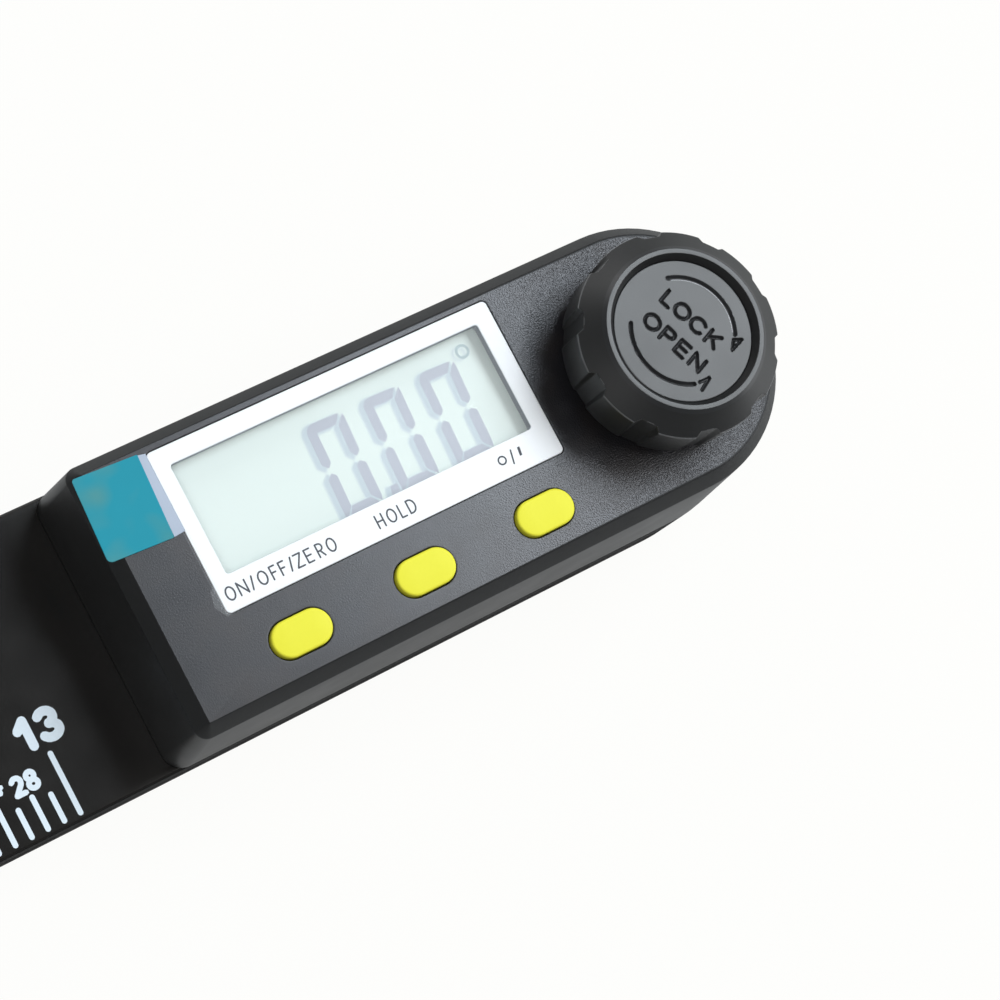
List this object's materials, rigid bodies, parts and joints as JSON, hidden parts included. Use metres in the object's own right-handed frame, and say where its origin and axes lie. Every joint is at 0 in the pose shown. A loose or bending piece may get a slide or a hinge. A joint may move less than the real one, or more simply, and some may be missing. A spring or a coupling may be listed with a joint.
{
  "type": "digital angle finder with arms",
  "caption": "Folding digital protractor: two flat ruled arms on one pivot, a display head with yellow keys and a scalloped lock knob.",
  "frame": {"origin": "on the pivot axis, at the lower arm's underside", "axes": "+X from the arms' free ends to the lock knob's end, +Y up on the display as it is read, +Z up out of the display"},
  "size_m": [0.4078, 0.0276, 0.0293],
  "materials": {
    "casing": "finely grained dark grey",
    "arm_plastic": "smooth dark grey with printed scales",
    "bezel_white": "smooth white",
    "clear_pane": "clear polished",
    "clear_film": "clear thin film",
    "tab_film": "printed blue-green film",
    "display_glass": "pale green-grey",
    "pale_sheet": "plain",
    "holder_plastic": "plain",
    "elastomer": "layered",
    "circuit_board": "solder mask",
    "black_plastic": "plain",
    "crystal_can": "plain",
    "keypad_rubber": "plain",
    "button_yellow": "satin",
    "carbon": "plain",
    "cell_steel": "fine brushed",
    "spring_steel": "plated",
    "cover_plastic": "finely grained",
    "bush_brass": "turned",
    "hub_plastic": "plain",
    "stud_steel": "turned",
    "slip_plastic": "plain",
    "screw_steel": "blackened",
    "knob_plastic": "satin dark grey",
    "cap_plastic": "satin grey with engraved lettering"
  },
  "bodies": {
    "head": {"upper_arm": "arm_plastic", "head_cover": "casing", "display_bezel": "bezel_white", "display_pane": "clear_pane", "screen_film": "clear_film", "film_tab": "tab_film", "lcd_panel": "display_glass", "lcd_reflector": "pale_sheet", "lcd_holder": "holder_plastic", "zebra_strip": "elastomer", "main_board": "circuit_board", "controller_chip": "black_plastic", "crystal": "crystal_can", "board_header": "black_plastic", "keypad_web": "keypad_rubber", "battery_cell": "cell_steel", "battery_contact_minus": "spring_steel", "battery_contact_plus": "spring_steel", "pivot_bush": "bush_brass", "encoder_stator": "circuit_board", "case_screws": "screw_steel", "thrust_washer": "slip_plastic"},
    "turning_arm": {"lower_arm": "arm_plastic", "pivot_stud": "stud_steel", "arm_washer": "slip_plastic", "encoder_rotor": "circuit_board", "rotor_hub": "hub_plastic", "spring_washer": "spring_steel", "stud_clip": "spring_steel"},
    "knob": {"lock_knob": "knob_plastic", "knob_nut": "bush_brass", "knob_cap": "cap_plastic"},
    "power_key": {"button_power": "button_yellow", "pill_power": "carbon"},
    "hold_key": {"button_hold": "button_yellow", "pill_hold": "carbon"},
    "unit_key": {"button_unit": "button_yellow", "pill_unit": "carbon"},
    "cover": {"battery_cover": "cover_plastic"}
  },
  "joints": [
    {"name": "arm_turn", "type": "hinge", "parent": "head", "child": "turning_arm", "pos_m": [0, 0, 0.004], "axis": [0, 0, 1], "continuous": true},
    {"name": "lock_turn", "type": "hinge", "parent": "head", "child": "knob", "pos_m": [0, 0, 0.0247], "axis": [0, 0, 1], "range_deg": [0, 270]},
    {"name": "power_press", "type": "slide", "parent": "head", "child": "power_key", "axis": [0, 0, 1], "range_m": [-0.0006, 0], "stiffness_N_per_m": 1000},
    {"name": "hold_press", "type": "slide", "parent": "head", "child": "hold_key", "axis": [0, 0, 1], "range_m": [-0.0006, 0], "stiffness_N_per_m": 1000},
    {"name": "unit_press", "type": "slide", "parent": "head", "child": "unit_key", "axis": [0, 0, 1], "range_m": [-0.0006, 0], "stiffness_N_per_m": 1000},
    {"name": "battery_cover_turn", "type": "hinge", "parent": "head", "child": "cover", "pos_m": [-0.038, 0, 0.0048], "axis": [0, 0, -1], "range_deg": [0, 35]}
  ]
}
